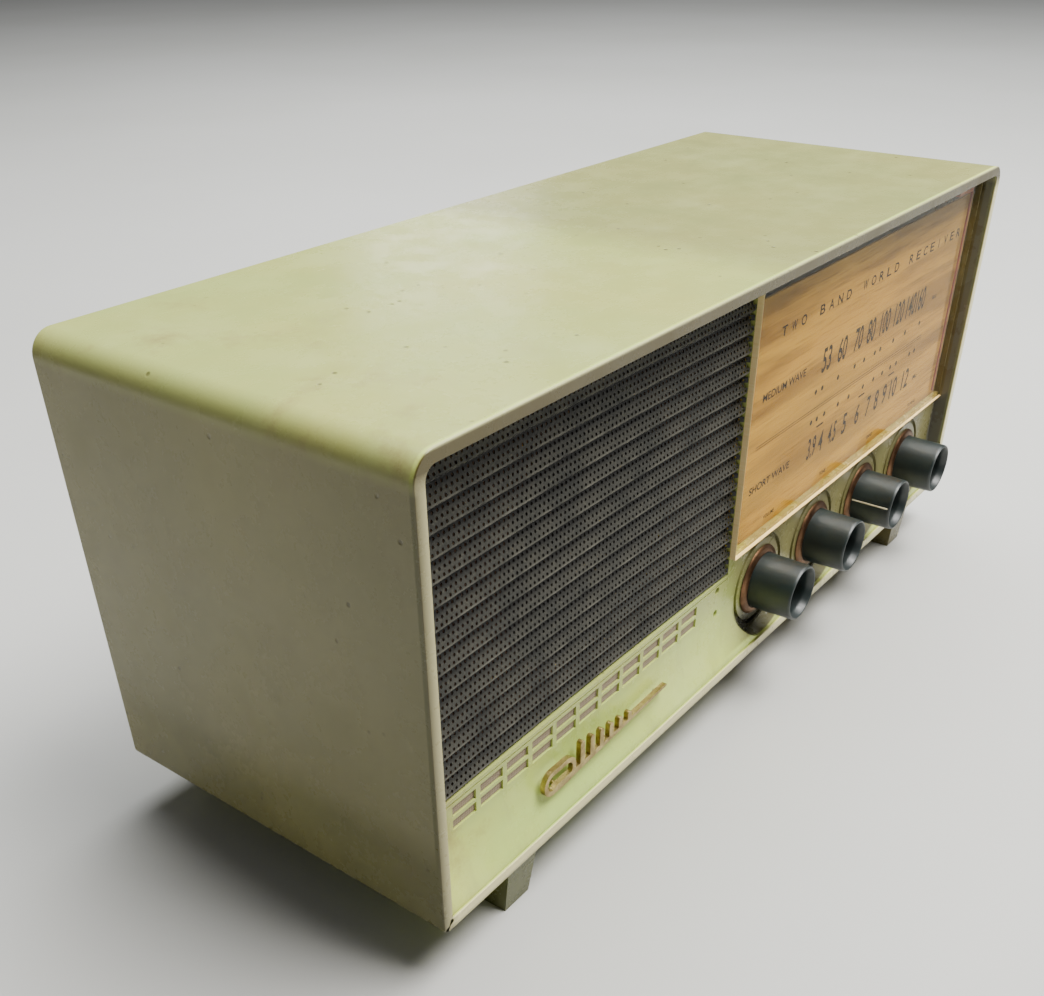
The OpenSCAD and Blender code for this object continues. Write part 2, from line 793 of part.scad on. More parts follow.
module if_cans() {
    color("#c4c6c4") cab() for (p = can_list)
        block(p[0] - can_w / 2, p[0] + can_w / 2, p[1] - can_w / 2, p[1] + can_w / 2,
            ch_top + 0.1, ch_top + can_h);
}

module smoothing_capacitor() {
    color("#a9abac") cab() rod_z(360, 118, 13, ch_top + 0.1, ch_top + 58);
}

rod_rear = 128;
rod_high = 148;
holder_x = [252, 364];
module rod_aerial() {
    color("#3b3a38") cab() rod_x(rod_rear, rod_high, 5, 226, 392);
}

module aerial_holders() {
    color(card) cab() for (x = holder_x) difference() {
        union() {
            rod_x(rod_rear, rod_high, 8, x - 3, x + 3);
            block(x - 3, x + 3, rod_rear + 5.5, rod_rear + 7.5, ch_top + 0.1, rod_high);
        }
        rod_x(rod_rear, rod_high, 5 + press_gap, x - 4, x + 4);
    }
}

// ---- back ----

module back_cover() {
    color(card) cab() difference() {
        block(in_x0 + 0.6, in_x1 - 0.6, back_y, back_y + back_t, in_z0 + 0.6, in_z1 - 5);
        for (x0 = vent_x, i = [0:vent_count - 1])
            block(x0 + i * vent_pitch, x0 + i * vent_pitch + vent_w, 0, body_d + 1, 74, 74 + vent_h);
        for (i = [0:7]) block(60 + i * 16, 68 + i * 16, 0, body_d + 1, 30, 34);
        for (x = boss_x, z = boss_z) rod_y(x, z, 1.7, 0, body_d + 1);
        block(socket_x[0] - 11, socket_x[1] + 11, 0, body_d + 1, socket_z - 9, socket_z + 9);
        rod_y(grommet_x, grommet_z, 6, 0, body_d + 1);
    }
}

module back_cover_screws() {
    color(steel) cab() for (x = boss_x, z = boss_z) {
        rod_y(x, z, 1.36, back_y - 9, back_y + back_t + 0.5);
        rod_y(x, z, 3.4, back_y + back_t + 0.02, back_y + back_t + 2);
    }
}

module aerial_sockets() {
    color("#5a3f28") cab() difference() {
        union() {
            block(socket_x[0] - 10, socket_x[1] + 10, ch_y1 + 0.1, ch_y1 + 2.1, socket_z - 8, socket_z + 8);
            for (x = socket_x) rod_y(x, socket_z, 4.2, ch_y1 - socket_len + 6, body_d - 3);
        }
        for (x = socket_x) rod_y(x, socket_z, socket_bore_r, body_d - 3 - socket_len, body_d);
    }
}

module cord_grommet() {
    color("#26241f") cab() turned(grommet_x, grommet_z) polygon([
        [grommet_bore_r, back_y - 3], [9, back_y - 3], [9, back_y - 0.1], [5.9, back_y - 0.1],
        [5.9, back_y + back_t + 0.1], [8.4, back_y + back_t + 0.1], [7, body_d - 0.5],
        [grommet_bore_r, body_d - 0.5]
    ]);
}

cabinet();
fascia();
vent_cloth();
speaker_grille();
dial_plate();
dial_lens();
ornament();
knob_volume();
knob_tone();
knob_band();
knob_tuning();
ring_volume();
ring_tone();
ring_band();
ring_tuning();
feet();
foot_screws();
chassis();
chassis_screws();
volume_control();
volume_shaft();
tone_control();
tone_shaft();
band_switch();
band_shaft();
tuning_bush();
tuning_spindle();
shaft_nuts();
capacitor_frame();
capacitor_stator();
capacitor_rotor();
drive_drum();
drive_cord();
pulley_left();
pulley_right();
dial_bracket();
pointer_rail();
dial_pointer();
dial_lamps();
lamp_holders();
speaker_baffle();
speaker_basket();
speaker_magnet();
speaker_cone();
speaker_surround();
voice_coil();
speaker_screws();
output_transformer();
mains_transformer();
valves();
valve_sockets();
if_cans();
smoothing_capacitor();
rod_aerial();
aerial_holders();
back_cover();
back_cover_screws();
aerial_sockets();
cord_grommet();
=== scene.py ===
"""Valve table radio: moulded cabinet, folded grille, wooden dial, four knobs, works inside.

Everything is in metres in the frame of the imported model. across(), back() and up() turn a place on
the cabinet, in millimetres, into that frame: x from its left side, y back from its front rim, and z
up from its underside. mm() does all three.
"""
import json
import math

import bpy
from mathutils import Matrix, Vector

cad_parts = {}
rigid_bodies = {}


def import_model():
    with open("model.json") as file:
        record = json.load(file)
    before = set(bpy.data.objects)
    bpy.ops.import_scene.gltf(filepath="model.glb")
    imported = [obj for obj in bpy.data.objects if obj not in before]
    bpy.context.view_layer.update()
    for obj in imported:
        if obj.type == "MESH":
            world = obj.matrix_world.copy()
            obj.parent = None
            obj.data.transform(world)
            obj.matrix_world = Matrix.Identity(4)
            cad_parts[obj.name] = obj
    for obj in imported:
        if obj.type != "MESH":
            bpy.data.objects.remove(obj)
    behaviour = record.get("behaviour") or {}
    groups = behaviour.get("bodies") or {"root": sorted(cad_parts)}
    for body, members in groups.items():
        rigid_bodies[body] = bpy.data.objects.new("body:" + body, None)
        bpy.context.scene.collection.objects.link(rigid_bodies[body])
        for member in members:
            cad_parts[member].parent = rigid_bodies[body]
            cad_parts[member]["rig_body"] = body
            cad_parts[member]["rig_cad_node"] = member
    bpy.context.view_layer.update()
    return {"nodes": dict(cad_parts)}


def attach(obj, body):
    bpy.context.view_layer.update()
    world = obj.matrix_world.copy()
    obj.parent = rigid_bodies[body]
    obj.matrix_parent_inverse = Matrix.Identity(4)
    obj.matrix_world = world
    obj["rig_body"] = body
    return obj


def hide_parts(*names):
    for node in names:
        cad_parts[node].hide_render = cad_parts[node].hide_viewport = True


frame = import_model()
NODES = frame["nodes"]
MM = 0.001

# Cabinet, in millimetres
WIDE, TALL, DEEP, WALL = 450.0, 175.5, 169.0, 4.5
TOP_RADIUS, LOW_RADIUS = 9.0, 2.5
FOOT = 22.0
FRONT_RIM = 77.0
KNOB_PITCH = 55.7
KNOB_X = [234.6 + i * KNOB_PITCH for i in range(4)]
KNOB_Z = 30.1
KNOB_NAMES = ["volume", "tone", "band", "tuning"]
KNOB_BODIES = ["volume", "tone", "band", "tuning_knob"]


def across(x):
    return (x - WIDE / 2) * MM


def back(y):
    return (y - FRONT_RIM) * MM


def up(z):
    return (z + FOOT) * MM


def mm(x, y, z):
    return Vector((across(x), back(y), up(z)))


# ---- camera, light and floor ----

CAMERA_PLACE = (-0.42357, -0.26495, 0.31741)
CAMERA_RIGHT = Vector((0.60253, -0.79808, -0.00613))
CAMERA_UP = Vector((0.46801, 0.34709, 0.81271))
CAMERA_AHEAD = Vector((0.64648, 0.49255, -0.58263))


def set_camera():
    """Above the left front corner, looking down and back along the set."""
    data = bpy.data.cameras.new("camera")
    camera = bpy.data.objects.new("camera", data)
    bpy.context.scene.collection.objects.link(camera)
    turn = Matrix((CAMERA_RIGHT, CAMERA_UP, -CAMERA_AHEAD)).transposed()
    camera.matrix_world = Matrix.Translation(CAMERA_PLACE) @ turn.to_4x4()
    data.sensor_width = 36
    data.lens = 39.44
    data.shift_x = -0.0062
    data.shift_y = 0.1907
    data.clip_start = 0.01
    bpy.context.scene.camera = camera


def set_lamp(name, place, target, wide, tall, watts, tint):
    """A rectangular lamp at a place, turned to face its target."""
    data = bpy.data.lights.new(name, "AREA")
    data.shape = "RECTANGLE"
    data.size = wide
    data.size_y = tall
    data.energy = watts
    data.color = tint
    lamp = bpy.data.objects.new(name, data)
    bpy.context.scene.collection.objects.link(lamp)
    lamp.location = place
    lamp.rotation_euler = (Vector(target) - Vector(place)).to_track_quat("-Z", "Y").to_euler()


def set_world():
    world = bpy.data.worlds.new("studio")
    bpy.context.scene.world = world
    world.use_nodes = True
    sky = world.node_tree.nodes["Background"]
    sky.inputs["Color"].default_value = (0.95, 0.96, 1.0, 1)
    sky.inputs["Strength"].default_value = 0.12


# ---- materials ----

def colour(hex_code):
    """sRGB hex to the linear colour a shader takes."""
    parts = [int(hex_code[i:i + 2], 16) / 255 for i in (0, 2, 4)]
    return [c / 12.92 if c <= 0.04045 else ((c + 0.055) / 1.055) ** 2.4 for c in parts] + [1.0]


def add(tree, kind, inputs=None, **settings):
    """Adds a shader node; each input is either a number or colour, or a socket to link from."""
    made = tree.nodes.new("ShaderNode" + kind)
    for name, value in settings.items():
        setattr(made, name, value)
    for name, value in (inputs or {}).items():
        if isinstance(value, bpy.types.NodeSocket):
            tree.links.new(value, made.inputs[name])
        else:
            made.inputs[name].default_value = value
    return made


def new_material(name):
    """A material with an empty node tree, and that tree."""
    material = bpy.data.materials.new(name)
    material.use_nodes = True
    tree = material.node_tree
    tree.nodes.clear()
    return material, tree


def blend_colour(tree, factor, low, high):
    """Mixes two colours, each a hex code or a socket."""
    made = add(tree, "Mix", data_type="RGBA")
    for socket, value in ((made.inputs[0], factor), (made.inputs[6], low), (made.inputs[7], high)):
        if isinstance(value, str):
            value = colour(value)
        if isinstance(value, bpy.types.NodeSocket):
            tree.links.new(value, socket)
        else:
            socket.default_value = value
    return made.outputs[2]


def span(tree, value, a, b, low=0.0, high=1.0):
    """Maps a value from a..b onto low..high, held at both ends."""
    return add(tree, "MapRange", {"Value": value, "From Min": a, "From Max": b, "To Min": low,
                                  "To Max": high}).outputs["Result"]


def times(tree, a, b):
    return add(tree, "Math", {0: a, 1: b}, operation="MULTIPLY").outputs[0]


def noise(tree, place, per_metre, detail=4.0, rough=0.55):
    """Cloudy variation around 0.5, with so many clouds to the metre."""
    return add(tree, "TexNoise", {"Vector": place, "Scale": per_metre, "Detail": detail,
                                  "Roughness": rough}).outputs["Fac"]


def finish(name, low, high, grain, rough, metallic=0.0, bump=0.1, stretch=(1, 1, 1), ior=1.5,
           dirt=None, fine=None):
    """A surface whose colour, gloss and height wander together.

    grain is the size in millimetres of the wandering, fine the size of its finest marks, stretch
    draws the marks out along an axis, and dirt is the colour of its soiled patches.
    """
    material, tree = new_material(name)
    place = add(tree, "TexCoord").outputs["Object"]
    drawn = add(tree, "Mapping", {"Vector": place, "Scale": stretch}).outputs["Vector"]
    wide = noise(tree, drawn, 1000 / grain)
    close = noise(tree, drawn, 1000 / (fine or grain / 8), 3.0, 0.6)
    base = blend_colour(tree, span(tree, wide, 0.35, 0.65), low, high)
    if dirt:
        patches = span(tree, noise(tree, place, 400 / grain, 5.0, 0.7), 0.56, 0.72, 0.0, 0.7)
        base = blend_colour(tree, patches, base, dirt)
    raised = add(tree, "Bump", {"Height": close, "Strength": bump, "Distance": 0.0006})
    shader = add(tree, "BsdfPrincipled", {
        "Base Color": base, "Metallic": metallic, "IOR": ior,
        "Roughness": span(tree, close, 0.3, 0.7, rough[0], rough[1]),
        "Normal": raised.outputs["Normal"]})
    add(tree, "OutputMaterial", {"Surface": shader.outputs["BSDF"]})
    return material


def soil_and_painted_light_sides(tree, place, axis, base):
    """Streaks, stain, browned rim and smoke; painted shade on the left side and feet, a painted edge
    highlight.
    """
    # runs of grime down the sides
    runs = add(tree, "Mapping", {"Vector": place, "Scale": (60, 60, 7)}).outputs["Vector"]
    streaks = span(tree, noise(tree, runs, 1, 5.0, 0.6), 0.5, 0.75, 0.0, 0.35)
    below_top = span(tree, axis["Z"], up(175), up(164))
    base = blend_colour(tree, times(tree, streaks, below_top), base, "85805a")
    # brown stain, heaviest at the left end of the top
    left_end = span(tree, axis["X"], across(95), across(0), 0.12, 1.0)
    stain = span(tree, noise(tree, place, 30, 7.0, 0.7), 0.53, 0.7, 0.0, 0.8)
    base = blend_colour(tree, times(tree, stain, left_end), base, "8f7a45")
    # handled rim: rubbed pale at the sides and the foot, brown along the top
    rim = span(tree, axis["Y"], back(0.8), back(0.2), 0.0, 0.95)
    upper = span(tree, axis["Z"], up(164), up(170))
    base = blend_colour(tree, rim, base, blend_colour(tree, upper, "dfd6a2", "42331a"))
    # the outer edge of the top is painted pale: a painted highlight along the rounded edge, and
    # rubbed wear
    rubbed = times(tree, span(tree, axis["Y"], back(1.5), back(0.8)),
                   span(tree, axis["Z"], up(174.6), up(175.3), 0.0, 0.6))
    base = blend_colour(tree, rubbed, base, "d6d49c")
    # feet, darkened: painted shade under the cabinet, and dust from the shelf
    low_down = span(tree, axis["Z"], up(2), up(-2), 0.0, 0.9)
    base = blend_colour(tree, low_down, base, "3c3820")
    # the left side has stood in smoke and dust, and has painted shade: dull brown, darkest toward
    # the front
    left = span(tree, axis["X"], across(7.5), across(0.2), 0.0, 0.92)
    smoked = blend_colour(tree, span(tree, noise(tree, place, 14, 6.0, 0.65), 0.35, 0.65),
                          "625a34", "7d7446")
    forward = span(tree, axis["Y"], back(77), back(1), 0.0, 0.75)
    smoked = blend_colour(tree, forward, smoked, "332d15")
    return blend_colour(tree, times(tree, left, below_top), base, smoked)


def soil_and_painted_shade_front(tree, axis, base):
    """Dust, handling and painted shade behind the rim: grey brown round the knobs, black in their
    pockets.

    The first two masks have no upper limit, so they dull the top and the right half of it too.
    """
    behind_rim = span(tree, axis["Y"], back(1.6), back(2.2))
    # x wrapped so that every knob falls on the first, then the distance from that knob
    from_knob = add(tree, "Math", {0: axis["X"], 1: across(KNOB_X[0] + KNOB_PITCH / 2),
                                   2: across(KNOB_X[0] - KNOB_PITCH / 2)}, operation="WRAP")
    beside_knob = add(tree, "Math", {0: from_knob.outputs[0], 1: across(KNOB_X[0])},
                      operation="SUBTRACT").outputs[0]
    over_knob = add(tree, "Math", {0: axis["Z"], 1: up(KNOB_Z)}, operation="SUBTRACT").outputs[0]
    spoke = add(tree, "CombineXYZ", {"X": beside_knob, "Z": over_knob}).outputs["Vector"]
    reach = add(tree, "VectorMath", {0: spoke}, operation="LENGTH").outputs["Value"]
    right_half = times(tree, span(tree, axis["X"], across(195), across(225)), behind_rim)
    # the fascia round the knobs is darker: handling grime, and painted shade of the front face
    handled = times(tree, span(tree, reach, 0.08, 0.022, 0.5, 0.9), right_half)
    base = blend_colour(tree, handled, base, "665d3c")
    # dust on all that stands above the foot of the fascia
    dusty = times(tree, span(tree, axis["Z"], up(28), up(42), 0.0, 0.5), behind_rim)
    base = blend_colour(tree, dusty, base, "8b8560")
    # the inner face of the right wall is in its own shade and grey with dust
    near_wall = times(tree, span(tree, axis["X"], across(441.5), across(443.5), 0.0, 0.85),
                      span(tree, axis["X"], across(446.2), across(445.6)))
    inner_side = times(tree, near_wall, span(tree, axis["Y"], back(0.2), back(0.8)))
    base = blend_colour(tree, inner_side, base, "62605a")
    # each pocket is painted black below its knob: a painted shadow of the knob
    pocket = times(tree, span(tree, reach, 0.0262, 0.0235), right_half)
    pocket = times(tree, pocket, span(tree, over_knob, -0.004, -0.016, 0.1, 0.93))
    return blend_colour(tree, pocket, base, "14120a")


def urea_moulding():
    """Urea-formaldehyde, compression moulded: a hard gloss skin, sage green through and through.

    Age has yellowed it in clouds, browned the corners and the rim, and left pits and dark specks.
    """
    material, tree = new_material("sage urea moulding")
    place = add(tree, "TexCoord").outputs["Object"]
    axis = add(tree, "SeparateXYZ", {"Vector": place}).outputs
    clouds = noise(tree, place, 9, 5.0, 0.6)
    base = blend_colour(tree, span(tree, clouds, 0.36, 0.62), "b5cb68", "c3cb64")
    # hand-sized pale bloom left by polish
    bloom = span(tree, noise(tree, place, 22, 6.0, 0.65), 0.5, 0.72, 0.0, 0.45)
    base = blend_colour(tree, bloom, base, "d0de8c")
    base = soil_and_painted_light_sides(tree, place, axis, base)
    base = soil_and_painted_shade_front(tree, axis, base)
    # specks a millimetre across
    cells = add(tree, "TexVoronoi", {"Vector": place, "Scale": 130.0})
    thin_out = span(tree, noise(tree, place, 35, 2.0), 0.55, 0.6)
    specks = times(tree, span(tree, cells.outputs["Distance"], 0.14, 0.07), thin_out)
    base = blend_colour(tree, times(tree, specks, 0.75), base, "4c4528")
    # ripple of the mould's skin, 6 mm, over a fine pitting, 0.8 mm, and the specks as pits
    raised = add(tree, "Bump", {"Height": noise(tree, place, 160, 3.0), "Strength": 0.09,
                                "Distance": 0.0006})
    raised = add(tree, "Bump", {"Height": noise(tree, place, 1200, 3.0, 0.7), "Strength": 0.08,
                                "Distance": 0.0004, "Normal": raised.outputs["Normal"]})
    raised = add(tree, "Bump", {"Height": specks, "Strength": 0.4, "Distance": 0.0004,
                                "Normal": raised.outputs["Normal"]}, invert=True)
    shader = add(tree, "BsdfPrincipled", {
        "Base Color": base, "IOR": 1.5, "Specular IOR Level": 0.32,
        "Normal": raised.outputs["Normal"],
        "Roughness": span(tree, noise(tree, place, 45, 6.0, 0.7), 0.3, 0.7, 0.16, 0.38)})
    add(tree, "OutputMaterial", {"Surface": shader.outputs["BSDF"]})
    return material


def veneer_print():
    """Honey-coloured wood veneer with a dulled lacquer, its grain lying across the dial."""
    material, tree = new_material("pale ash veneer")
    place = add(tree, "TexCoord").outputs["Object"]
    lying = add(tree, "Mapping", {"Vector": place, "Scale": (3, 1, 34)}).outputs["Vector"]
    growth = noise(tree, lying, 2.6, 5.0, 0.55)
    base = blend_colour(tree, span(tree, growth, 0.4, 0.6), "aa8730", "785a16")
    thin = add(tree, "Mapping", {"Vector": place, "Scale": (18, 1, 420)}).outputs["Vector"]
    pores = span(tree, noise(tree, thin, 2.2, 4.0, 0.6), 0.5, 0.75, 0.0, 0.6)
    base = blend_colour(tree, pores, base, "4f3c12")
    pale = span(tree, noise(tree, lying, 1.1, 2.0), 0.45, 0.75, 0.0, 0.6)
    base = blend_colour(tree, pale, base, "b89c42")
    raised = add(tree, "Bump", {"Height": pores, "Strength": 0.1, "Distance": 0.0002},
                 invert=True)
    shader = add(tree, "BsdfPrincipled", {
        "Base Color": base, "IOR": 1.5, "Specular IOR Level": 0.05,
        "Normal": raised.outputs["Normal"], "Roughness": span(tree, pores, 0.0, 1.0, 0.5, 0.7)})
    add(tree, "OutputMaterial", {"Surface": shader.outputs["BSDF"]})
    return material


def cast_acrylic():
    """Cast acrylic sheet, a little yellowed: clear, with hair scratches only.

    Its index is far below the real 1.49, so that the pale floor isn't mirrored over the dial.
    """
    material, tree = new_material("yellowed cast acrylic")
    place = add(tree, "TexCoord").outputs["Object"]
    hairs = add(tree, "Mapping", {"Vector": place, "Rotation": (0, 0.6, 0),
                                  "Scale": (40, 40, 1500)}).outputs["Vector"]
    scratched = span(tree, noise(tree, hairs, 1, 2.0), 0.62, 0.7, 0.0, 0.05)
    shader = add(tree, "BsdfPrincipled", {
        "Base Color": colour("fbf3da"), "IOR": 1.08, "Transmission Weight": 1.0,
        "Roughness": scratched})
    # the lamps shine through it onto the dial
    lamp_ray = add(tree, "LightPath").outputs["Is Shadow Ray"]
    clear_way = add(tree, "BsdfTransparent", {"Color": colour("f6ead0")})
    sheet = add(tree, "MixShader", {0: lamp_ray, 1: shader.outputs["BSDF"],
                                    2: clear_way.outputs["BSDF"]})
    add(tree, "OutputMaterial", {"Surface": sheet.outputs["Shader"]})
    return material


def sawn_edge():
    """The sawn and rubbed edge of the acrylic: it gathers light, pale yellow and cloudy."""
    material, tree = new_material("sawn acrylic edge")
    place = add(tree, "TexCoord").outputs["Object"]
    strokes = add(tree, "Mapping", {"Vector": place, "Scale": (1, 1, 900)}).outputs["Vector"]
    marks = noise(tree, strokes, 1, 3.0)
    base = blend_colour(tree, marks, "d9b878", "efdcae")
    raised = add(tree, "Bump", {"Height": marks, "Strength": 0.2, "Distance": 0.0002})
    shader = add(tree, "BsdfPrincipled", {
        "Base Color": base, "IOR": 1.49, "Roughness": span(tree, marks, 0, 1, 0.3, 0.5),
        "Normal": raised.outputs["Normal"]})
    add(tree, "OutputMaterial", {"Surface": shader.outputs["BSDF"]})
    return material


def woven_cloth():
    """Plain-woven speaker cloth, threads 0.5 mm apart, faded to a pinkish tan."""
    material, tree = new_material("faded woven cloth")
    place = add(tree, "TexCoord").outputs["Object"]
    warp = add(tree, "TexWave", {"Vector": place, "Scale": 320.0, "Distortion": 0.6},
               wave_type="BANDS", bands_direction="X").outputs["Fac"]
    weft = add(tree, "TexWave", {"Vector": place, "Scale": 320.0, "Distortion": 0.6},
               wave_type="BANDS", bands_direction="Z").outputs["Fac"]
    threads = add(tree, "Math", {0: warp, 1: weft}, operation="MAXIMUM").outputs[0]
    base = blend_colour(tree, span(tree, threads, 0.2, 1.0), "7a6855", "97826a")
    raised = add(tree, "Bump", {"Height": threads, "Strength": 0.5, "Distance": 0.0003})
    shader = add(tree, "BsdfPrincipled", {
        "Base Color": base, "Roughness": span(tree, threads, 0, 1, 0.95, 0.8),
        "Sheen Weight": 0.2, "Normal": raised.outputs["Normal"]})
    add(tree, "OutputMaterial", {"Surface": shader.outputs["BSDF"]})
    return material


def enamelled_sheet():
    """Pierced steel sheet, stove enamelled grey black: painted shade in its valleys, painted
    highlight on its crests.
    """
    material, tree = new_material("enamelled steel with painted fold shade")
    place = add(tree, "TexCoord").outputs["Object"]
    fold = add(tree, "Attribute", attribute_name="fold").outputs["Fac"]
    patches = noise(tree, place, 60, 4.0, 0.6)
    close = noise(tree, place, 900, 3.0, 0.6)
    base = blend_colour(tree, span(tree, patches, 0.35, 0.65), "2b2b27", "3d3b34")
    base = blend_colour(tree, span(tree, close, 0.55, 0.75, 0.0, 0.5), base, "5c594d")
    # painted shade, darkest in the valleys between the folds
    base = blend_colour(tree, span(tree, fold, 0.5, 0.1), base, "0c0b09")
    # painted highlight along the crests of the folds
    painted_crest_highlight = times(tree, span(tree, fold, 0.88, 0.99, 0.0, 0.4), span(tree, patches, 0.35, 0.65))
    base = blend_colour(tree, painted_crest_highlight, base, "8a877a")
    raised = add(tree, "Bump", {"Height": close, "Strength": 0.2, "Distance": 0.0004})
    shader = add(tree, "BsdfPrincipled", {
        "Base Color": base, "Metallic": 0.3, "IOR": 1.5, "Normal": raised.outputs["Normal"],
        "Roughness": span(tree, close, 0.3, 0.7, 0.35, 0.6)})
    add(tree, "OutputMaterial", {"Surface": shader.outputs["BSDF"]})
    return material


def blown_glass():
    """Blown soda glass of the valves and lamps, faintly smoked."""
    material, tree = new_material("blown glass")
    place = add(tree, "TexCoord").outputs["Object"]
    waves = noise(tree, place, 90, 2.0)
    raised = add(tree, "Bump", {"Height": waves, "Strength": 0.05, "Distance": 0.0004})
    shader = add(tree, "BsdfPrincipled", {
        "Base Color": colour("e4e9e4"), "IOR": 1.5, "Transmission Weight": 1.0,
        "Roughness": span(tree, waves, 0.3, 0.7, 0.0, 0.04),
        "Normal": raised.outputs["Normal"]})
    add(tree, "OutputMaterial", {"Surface": shader.outputs["BSDF"]})
    return material


SAGE = urea_moulding()
VENEER = veneer_print()
ACRYLIC = cast_acrylic()
ACRYLIC_EDGE = sawn_edge()
CLOTH = woven_cloth()
GLASS = blown_glass()
GRILLE_GREY = enamelled_sheet()
# phenolic moulding, near black, its polish dulled by hands
KNOB_BLACK = finish("black phenolic", "0f1918", "182423", 14, (0.36, 0.5), bump=0.03, ior=1.6,
                    fine=2.0)
# stamped brass with an old lacquer gone coppery
RING_BRASS = finish("coppery lacquered brass", "7a5b42", "57402e", 6, (0.3, 0.55), metallic=1,
                    bump=0.15, fine=0.6, dirt="5c3a24")
# gilt zinc casting, rubbed bright on its ridges
GILT = finish("gilt casting", "baa672", "8d7747", 4, (0.24, 0.46), metallic=1, bump=0.3,
              fine=0.5, dirt="5d3f20")
# printing ink on the veneer
INK = finish("brown black ink", "0e0a06", "1a130b", 5, (0.6, 0.8), bump=0.05, fine=0.4,
             ior=1.2)
# amber varnish line at the dial's left edge
EDGING = finish("amber varnish", "b9812f", "a06a22", 9, (0.3, 0.45), bump=0.05, fine=0.6)
# tinned and cadmium plated steel, dull with a yellow cast
PLATED = finish("cadmium plated steel", "a9a794", "8a8875", 20, (0.3, 0.55), metallic=0.9,
                bump=0.1, fine=1.0, dirt="6c5f45")
# turned bright steel
BRIGHT = finish("turned steel", "b4b4b0", "8f8f8c", 8, (0.2, 0.4), metallic=1, bump=0.1,
                fine=0.5, dirt="6d5a44")
# machined brass
BRASS = finish("machined brass", "c29a55", "9c763c", 6, (0.22, 0.42), metallic=1, bump=0.1,
               fine=0.4, dirt="6b5230")
# hardboard: pressed brown fibre with a smooth face
HARDBOARD = finish("brown hardboard", "6f5136", "54391f", 9, (0.6, 0.85), bump=0.35, fine=0.8,
                   dirt="8a6f50")
# resin-bonded paper, layered brown
PHENOLIC_SHEET = finish("brown phenolic sheet", "6a4222", "54331a", 9, (0.35, 0.6), bump=0.15,
                        fine=0.7)
# moulded cream nylon and waxed cord
CREAM = finish("cream nylon", "d9cfae", "c6ba94", 10, (0.4, 0.6), bump=0.1, fine=0.7,
               dirt="a0906a")
# black paper pulp, felted
PULP = finish("black paper pulp", "26221e", "3a342c", 5, (0.8, 0.95), bump=0.6, fine=0.5)
# oak-brown varnished core iron, stacked in thin sheets
CORE = finish("varnished core iron", "3a3026", "5a4a36", 6, (0.4, 0.65), metallic=0.4, bump=0.5,
              fine=0.5, stretch=(8, 0.4, 0.4))
# drawn aluminium can
CAN = finish("drawn aluminium", "b9babb", "9fa0a2", 16, (0.28, 0.45), metallic=1, bump=0.1,
             fine=0.8, stretch=(1, 1, 0.1), dirt="77766e")
# hammer-painted magnet casting
MAGNET = finish("grey painted casting", "4d5154", "3c3f42", 6, (0.4, 0.6), bump=0.5, fine=1.2)
# sintered ferrite, dark and fine-grained
FERRITE = finish("sintered ferrite", "2b2a29", "3a3836", 4, (0.55, 0.75), bump=0.3, fine=0.4)
# moulded black rubber with bloom
RUBBER = finish("bloomed rubber", "201e1b", "34312c", 6, (0.6, 0.8), bump=0.2, fine=0.6)
# red-brown cellulose paint
NEEDLE = finish("red brown paint", "7b3222", "8d4430", 4, (0.35, 0.5), bump=0.1, fine=0.5)
# enamelled copper wire
COIL = finish("enamelled copper wire", "8c4720", "a65c2c", 2, (0.25, 0.4), metallic=0.9,
              bump=0.6, fine=0.3, stretch=(0.2, 6, 0.2))
# pale studio floor, matt
FLOOR = finish("matt floor", "c3c2bf", "bfbeba", 500, (0.85, 0.95), bump=0.0, fine=20)


# ---- modelling by hand ----

def clear():
    """Nothing selected, in object mode."""
    if bpy.context.object and bpy.context.object.mode != "OBJECT":
        bpy.ops.object.mode_set(mode="OBJECT")
    bpy.ops.object.select_all(action="DESELECT")


def named(name):
    """Names the active object and its mesh."""
    made = bpy.context.object
    made.name = made.data.name = name
    return made


def only(piece):
    """This piece alone selected, and active."""
    clear()
    piece.select_set(True)
    bpy.context.view_layer.objects.active = piece


def settle():
    """Puts the active piece's place, turn and size into its mesh."""
    bpy.ops.object.transform_apply(location=True, rotation=True, scale=True)


def box_piece(name, low, high):
    """A box between two corners."""
    clear()
    bpy.ops.mesh.primitive_cube_add(size=1, location=(low + high) / 2)
    bpy.context.object.scale = high - low
    settle()
    return named(name)


def edit(piece, faces=None, edges=None):
    """Opens the piece in edit mode: the faces or edges that pass a test picked, or else all."""
    only(piece)
    bpy.ops.object.mode_set(mode="EDIT")
    bpy.ops.mesh.select_mode(type="FACE" if faces else "EDGE" if edges else "VERT")
    bpy.ops.mesh.select_all(action="DESELECT" if faces or edges else "SELECT")
    bpy.ops.object.mode_set(mode="OBJECT")
    mesh = piece.data
    for face in mesh.polygons if faces else []:
        face.select = bool(faces(face.center, face.normal))
    for edge in mesh.edges if edges else []:
        edge.select = bool(edges(*[mesh.vertices[i].co for i in edge.vertices]))
    bpy.ops.object.mode_set(mode="EDIT")


def modify(piece, kind, **settings):
    """Adds a modifier and applies it."""
    only(piece)
    modifier = piece.modifiers.new(kind.title(), kind)
    for name, value in settings.items():
        setattr(modifier, name, value)
    bpy.ops.object.modifier_apply(modifier=modifier.name)


def round_edges(piece, radius, segments=2, angle=35):
    """Rounds the edges sharper than the angle, to a radius in millimetres."""
    modify(piece, "BEVEL", width=radius * MM, segments=segments, limit_method="ANGLE",
           angle_limit=math.radians(angle), harden_normals=False, use_clamp_overlap=True)


def smooth(piece, angle=35):
    """Shades the piece smooth, but for the edges sharper than the angle."""
    only(piece)
    bpy.ops.object.shade_smooth_by_angle(angle=math.radians(angle))
    modify(piece, "WEIGHTED_NORMAL", keep_sharp=True, weight=80)


